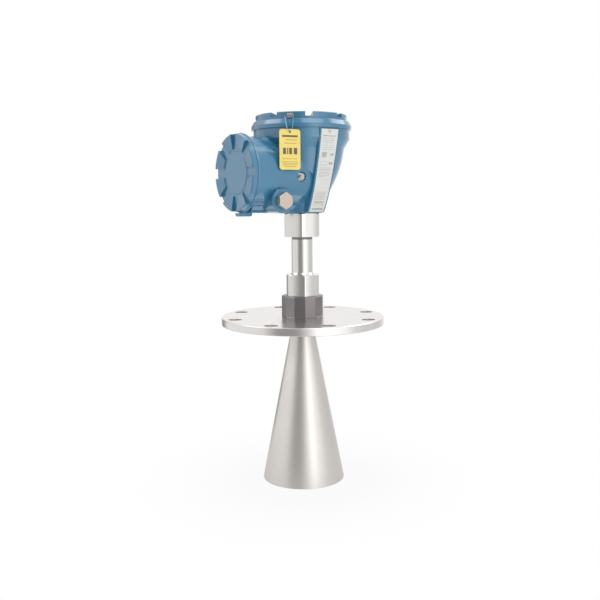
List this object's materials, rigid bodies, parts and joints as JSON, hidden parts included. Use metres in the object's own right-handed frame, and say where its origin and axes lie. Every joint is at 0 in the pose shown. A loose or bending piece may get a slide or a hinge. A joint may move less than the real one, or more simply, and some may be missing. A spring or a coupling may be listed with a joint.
{
  "type": "radar level transmitter",
  "caption": "Two-compartment radar level transmitter: swivelling head on a waveguide neck, plate flange and cone antenna, with screw covers and a hanging tag.",
  "frame": {"origin": "centre of the flange's underside, where it seats on a tank nozzle", "axes": "+Z along the antenna axis, up to the head; -X along the terminal compartment; -Y out of the name plate"},
  "size_m": [0.2794, 0.2794, 0.6245],
  "materials": {
    "stainless": "turned and brushed 316L stainless steel",
    "dark_nut": "dark grey coated steel, satin",
    "housing_paint": "blue polyurethane paint on cast aluminium, semi-gloss",
    "plate_metal": "satin stainless foil plate with faint grey print fields",
    "fastener_steel": "stainless steel fasteners",
    "plug_steel": "bright stainless steel blanking plug",
    "lug_metal": "bare aluminium with a warm grey cast",
    "wire_steel": "thin stainless wire",
    "brass": "turned brass",
    "seal_rubber": "black elastomer",
    "ptfe": "white PTFE",
    "module_plastic": "black glass-filled moulding",
    "board_green": "green solder resist",
    "connector_plastic": "ivory moulding",
    "ground_green": "green marked ground screw",
    "feed_resin": "cast resin",
    "tag_yellow": null
  },
  "bodies": {
    "process_side": {"flange": "stainless", "cone_antenna": "stainless", "sealing_window": "ptfe", "window_o_ring": "seal_rubber", "lock_nut": "dark_nut", "adapter": "stainless", "waveguide_tube": "stainless", "neck_bush": "seal_rubber", "inner_waveguide": "brass"},
    "nut_washer": {"slip_washer": "ptfe"},
    "neck_nut": {"neck_nut": "stainless"},
    "head": {"housing": "housing_paint", "neck_socket": "stainless", "antenna_coupler": "brass", "name_plate": "plate_metal", "name_plate_rivets": "fastener_steel", "ground_screw": "fastener_steel", "ground_washer": "fastener_steel", "ground_clamp": "fastener_steel", "conduit_plug": "plug_steel", "conduit_plug_seal": "seal_rubber", "terminal_jam_screw": "fastener_steel", "top_jam_screw": "fastener_steel", "electronics_module": "module_plastic", "module_screws": "fastener_steel", "circuit_board": "board_green", "board_connector": "connector_plastic", "terminal_block": "module_plastic", "terminal_screws": "fastener_steel", "wire_clamps": "brass", "inner_ground_screw": "ground_green", "feedthrough": "feed_resin", "feedthrough_pins": "brass"},
    "top_seal": {"top_cover_o_ring": "seal_rubber", "seal_lug": "lug_metal"},
    "top_cover": {"top_cover": "housing_paint"},
    "terminal_seal": {"terminal_cover_o_ring": "seal_rubber"},
    "terminal_cover": {"terminal_cover": "housing_paint"},
    "tag": {"safety_tag": "tag_yellow", "tag_wire": "wire_steel"}
  },
  "joints": [
    {"name": "head_swivel", "type": "hinge", "parent": "process_side", "child": "head", "pos_m": [0, 0, 0.164], "axis": [0, 0, 1], "range_deg": [-180, 180]},
    {"name": "neck_nut_travel", "type": "slide", "parent": "process_side", "child": "nut_washer", "axis": [0, 0, -1], "range_m": [0, 0.0201]},
    {"name": "neck_nut_spin", "type": "hinge", "parent": "nut_washer", "child": "neck_nut", "pos_m": [0, 0, 0.17], "axis": [0, 0, -1], "range_deg": [0, 3600]},
    {"name": "top_cover_travel", "type": "slide", "parent": "head", "child": "top_seal", "axis": [0, 0, 1], "range_m": [0, 0.0121]},
    {"name": "top_cover_spin", "type": "hinge", "parent": "top_seal", "child": "top_cover", "pos_m": [0, 0, 0.33], "axis": [0, 0, 1], "range_deg": [0, 2880]},
    {"name": "terminal_cover_travel", "type": "slide", "parent": "head", "child": "terminal_seal", "axis": [-1, 0, 0], "range_m": [0, 0.0121]},
    {"name": "terminal_cover_spin", "type": "hinge", "parent": "terminal_seal", "child": "terminal_cover", "pos_m": [-0.119, 0, 0.2555], "axis": [-1, 0, 0], "range_deg": [0, 2880]},
    {"name": "tag_swing", "type": "hinge", "parent": "top_seal", "child": "tag", "pos_m": [-0.05829, -0.05436, 0.3458], "axis": [-0.682, 0.7314, 0], "range_deg": [0, 70]}
  ],
  "couplings": [
    {"joint": "neck_nut_travel", "follows": "neck_nut_spin", "m_per_rad": 0.00031831},
    {"joint": "top_cover_travel", "follows": "top_cover_spin", "m_per_rad": 0.00023873},
    {"joint": "terminal_cover_travel", "follows": "terminal_cover_spin", "m_per_rad": 0.00023873}
  ]
}
